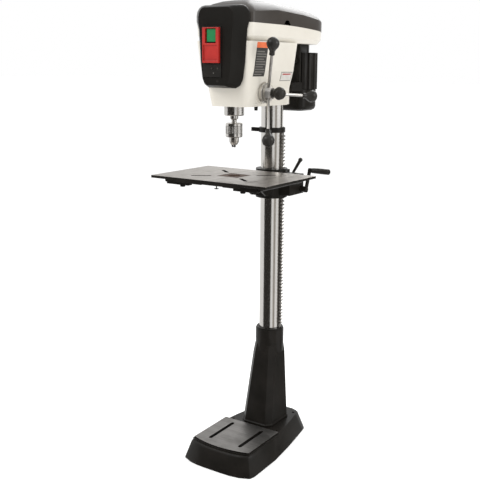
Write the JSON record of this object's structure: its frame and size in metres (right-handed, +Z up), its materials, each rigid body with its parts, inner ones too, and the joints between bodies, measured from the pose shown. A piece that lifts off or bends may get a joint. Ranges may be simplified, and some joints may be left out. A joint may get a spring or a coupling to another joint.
{
  "type": "floor drill press",
  "caption": "Floor drill press: round column on a tapered foot, lifting and tilting winged table, belt-driven head with quill, keyed chuck, feed handles and rear motor.",
  "frame": {"origin": "on the floor, on the column's axis, where the base's ribs cross", "axes": "+Z up along the column, -Y towards the operator and the spindle, +X towards the feed handles and the table crank"},
  "size_m": [0.4612, 0.6445, 1.6189],
  "materials": {
    "black_paint": "semi-gloss black paint on grey iron",
    "cream_paint": "smooth cream paint",
    "lid_plastic": "fine-grained dark grey-brown",
    "panel_plastic": "fine-grained black",
    "knob_plastic": "moulded black",
    "ground_iron": "ground top, black paint below",
    "bright_steel": "ground bright",
    "cast_aluminium": "machined casting",
    "red_plastic": "red",
    "green_plastic": "green",
    "belt_rubber": "matt",
    "brown_board": "pressed brown board"
  },
  "bodies": {
    "stand": {"base": "black_paint", "pedestal": "black_paint", "column": "bright_steel", "rack_collar": "black_paint", "head_casting": "cream_paint", "belt_pan": "cream_paint", "front_panel": "panel_plastic", "switch_box": "panel_plastic", "spring_cap": "black_paint", "return_spring": "bright_steel", "aiming_light": "black_paint", "idler_arm": "black_paint", "belt_front": "belt_rubber", "belt_rear": "belt_rubber"},
    "column_rack": {"rack": "bright_steel"},
    "lift_bracket": {"table_bracket": "black_paint", "tilt_bolt": "bright_steel"},
    "lift_gears": {"lift_gear": "bright_steel"},
    "crank": {"worm_shaft": "bright_steel", "crank_arm": "bright_steel"},
    "crank_handle": {"crank_grip": "knob_plastic"},
    "column_lock": {"column_lock_lever": "bright_steel"},
    "work_table": {"table_arm": "black_paint", "table": "ground_iron", "table_insert": "brown_board", "rim_screw": "bright_steel"},
    "left_wing": {"wing_left": "ground_iron", "wing_slide_left": "bright_steel"},
    "right_wing": {"wing_right": "ground_iron", "wing_slide_right": "bright_steel"},
    "left_wing_lock": {"wing_lock_left": "black_paint"},
    "right_wing_lock": {"wing_lock_right": "black_paint"},
    "quill_body": {"quill": "bright_steel"},
    "spindle_body": {"spindle": "bright_steel", "chuck_body": "bright_steel"},
    "chuck_collar": {"chuck_sleeve": "bright_steel"},
    "jaw_1": {"chuck_jaw_1": "bright_steel"},
    "jaw_2": {"chuck_jaw_2": "bright_steel"},
    "jaw_3": {"chuck_jaw_3": "bright_steel"},
    "feed": {"pinion_shaft": "bright_steel", "feed_hub": "cast_aluminium", "feed_rod_1": "bright_steel", "feed_rod_2": "bright_steel", "feed_rod_3": "bright_steel", "feed_knob_1": "knob_plastic", "feed_knob_2": "knob_plastic", "feed_knob_3": "knob_plastic"},
    "depth_scale": {"depth_ring": "cast_aluminium"},
    "depth_lock": {"depth_lock_knob": "knob_plastic"},
    "drive_pulley": {"spindle_pulley": "cast_aluminium"},
    "idler": {"idler_pulley": "cast_aluminium"},
    "motor": {"motor_mount": "black_paint", "motor_body": "black_paint", "motor_cover": "black_paint"},
    "rotor": {"motor_rotor": "bright_steel", "motor_pulley": "cast_aluminium"},
    "tension": {"tension_lever": "knob_plastic"},
    "belt_cover": {"lid": "lid_plastic"},
    "paddle": {"stop_paddle": "red_plastic"},
    "button": {"start_button": "green_plastic"}
  },
  "joints": [
    {"name": "table_swing", "type": "hinge", "parent": "stand", "child": "column_rack", "pos_m": [0, 0, 1.038], "axis": [0, 0, 1], "range_deg": [-180, 180]},
    {"name": "table_lift", "type": "slide", "parent": "column_rack", "child": "lift_bracket", "axis": [0, 0, 1], "range_m": [-0.45, 0.09]},
    {"name": "lift_gear_turn", "type": "hinge", "parent": "lift_bracket", "child": "lift_gears", "pos_m": [0.0706, 0, 0.993], "axis": [0, 1, 0], "range_deg": [-289, 1435]},
    {"name": "crank_turn", "type": "hinge", "parent": "lift_bracket", "child": "crank", "pos_m": [0.0706, 0.052, 0.9642], "axis": [1, 0, 0], "range_deg": [-12894, 2581]},
    {"name": "crank_grip_spin", "type": "hinge", "parent": "crank", "child": "crank_handle", "pos_m": [0.1391, 0.07662, 1.03186], "axis": [1, 0, 0], "continuous": true},
    {"name": "column_lock_turn", "type": "hinge", "parent": "lift_bracket", "child": "column_lock", "pos_m": [0.03, 0.081, 1], "axis": [1, 0, 0], "range_deg": [-75, 0]},
    {"name": "table_tilt", "type": "hinge", "parent": "lift_bracket", "child": "work_table", "pos_m": [0, -0.0665, 0.983], "axis": [0, 1, 0], "range_deg": [-25, 45]},
    {"name": "wing_left_slide", "type": "slide", "parent": "work_table", "child": "left_wing", "axis": [-1, 0, 0], "range_m": [0, 0.075]},
    {"name": "wing_right_slide", "type": "slide", "parent": "work_table", "child": "right_wing", "axis": [1, 0, 0], "range_m": [0, 0.075]},
    {"name": "wing_left_lock_turn", "type": "hinge", "parent": "work_table", "child": "left_wing_lock", "pos_m": [-0.1226, -0.365, 1.008], "axis": [0, 0, 1], "range_deg": [0, 180]},
    {"name": "wing_right_lock_turn", "type": "hinge", "parent": "work_table", "child": "right_wing_lock", "pos_m": [0.1226, -0.365, 1.008], "axis": [0, 0, 1], "range_deg": [0, 180]},
    {"name": "quill_feed", "type": "slide", "parent": "stand", "child": "quill_body", "axis": [0, 0, -1], "range_m": [0, 0.127], "stiffness_N_per_m": 120, "springref_m": -0.75},
    {"name": "feed_turn", "type": "hinge", "parent": "stand", "child": "feed", "pos_m": [0, -0.1915, 1.317], "axis": [1, 0, 0], "range_deg": [-1, 443]},
    {"name": "spindle_spin", "type": "hinge", "parent": "quill_body", "child": "spindle_body", "pos_m": [0, -0.24, 1.23], "axis": [0, 0, 1], "continuous": true},
    {"name": "chuck_sleeve_turn", "type": "hinge", "parent": "spindle_body", "child": "chuck_collar", "pos_m": [0, -0.24, 1.19], "axis": [0, 0, 1], "range_deg": [0, 720]},
    {"name": "depth_ring_turn", "type": "hinge", "parent": "feed", "child": "depth_scale", "pos_m": [0.091, -0.1915, 1.317], "axis": [1, 0, 0], "range_deg": [-150, 150]},
    {"name": "depth_lock_turn", "type": "hinge", "parent": "feed", "child": "depth_lock", "pos_m": [0.14, -0.1915, 1.317], "axis": [1, 0, 0], "range_deg": [0, 270]},
    {"name": "spindle_pulley_spin", "type": "hinge", "parent": "stand", "child": "drive_pulley", "pos_m": [0, -0.24, 1.541], "axis": [0, 0, 1], "continuous": true},
    {"name": "idler_spin", "type": "hinge", "parent": "stand", "child": "idler", "pos_m": [0, -0.045, 1.541], "axis": [0, 0, 1], "continuous": true},
    {"name": "motor_slide", "type": "slide", "parent": "stand", "child": "motor", "axis": [0, -1, 0], "range_m": [0, 0.015]},
    {"name": "motor_spin", "type": "hinge", "parent": "motor", "child": "rotor", "pos_m": [0, 0.166, 1.4], "axis": [0, 0, 1], "continuous": true},
    {"name": "tension_lever_turn", "type": "hinge", "parent": "stand", "child": "tension", "pos_m": [-0.0606, 0, 1.395], "axis": [1, 0, 0], "range_deg": [0, 61]},
    {"name": "lid_open", "type": "hinge", "parent": "stand", "child": "belt_cover", "pos_m": [-0.112, 0, 1.5413], "axis": [0, -1, 0], "range_deg": [0, 95]},
    {"name": "stop_paddle_press", "type": "hinge", "parent": "stand", "child": "paddle", "pos_m": [-0.012, -0.352, 1.52], "axis": [1, 0, 0], "range_deg": [0, 3], "stiffness_Nm_per_rad": 0.6, "springref_deg": -2.86},
    {"name": "start_button_press", "type": "slide", "parent": "stand", "child": "button", "axis": [0, 1, 0], "range_m": [0, 0.004], "stiffness_N_per_m": 500, "springref_m": -0.002},
    {"name": "chuck_jaw_1_slide", "type": "slide", "parent": "spindle_body", "child": "jaw_1", "axis": [0, 0.2079, 0.9781], "range_m": [0, 0.008]},
    {"name": "chuck_jaw_2_slide", "type": "slide", "parent": "spindle_body", "child": "jaw_2", "axis": [-0.1801, -0.104, 0.9781], "range_m": [0, 0.008]},
    {"name": "chuck_jaw_3_slide", "type": "slide", "parent": "spindle_body", "child": "jaw_3", "axis": [0.1801, -0.104, 0.9781], "range_m": [0, 0.008]}
  ],
  "couplings": [
    {"joint": "lift_gear_turn", "follows": "table_lift", "rad_per_m": -55.556},
    {"joint": "crank_turn", "follows": "table_lift", "rad_per_m": 500},
    {"joint": "feed_turn", "follows": "quill_feed", "rad_per_m": 60.606},
    {"joint": "idler_spin", "follows": "motor_spin", "ratio": 0.377},
    {"joint": "spindle_pulley_spin", "follows": "motor_spin", "ratio": 0.2514},
    {"joint": "spindle_spin", "follows": "motor_spin", "ratio": 0.2514},
    {"joint": "tension_lever_turn", "follows": "motor_slide", "rad_per_m": 69.813},
    {"joint": "chuck_jaw_1_slide", "follows": "chuck_sleeve_turn", "m_per_rad": 0.00063662},
    {"joint": "chuck_jaw_2_slide", "follows": "chuck_sleeve_turn", "m_per_rad": 0.00063662},
    {"joint": "chuck_jaw_3_slide", "follows": "chuck_sleeve_turn", "m_per_rad": 0.00063662}
  ]
}
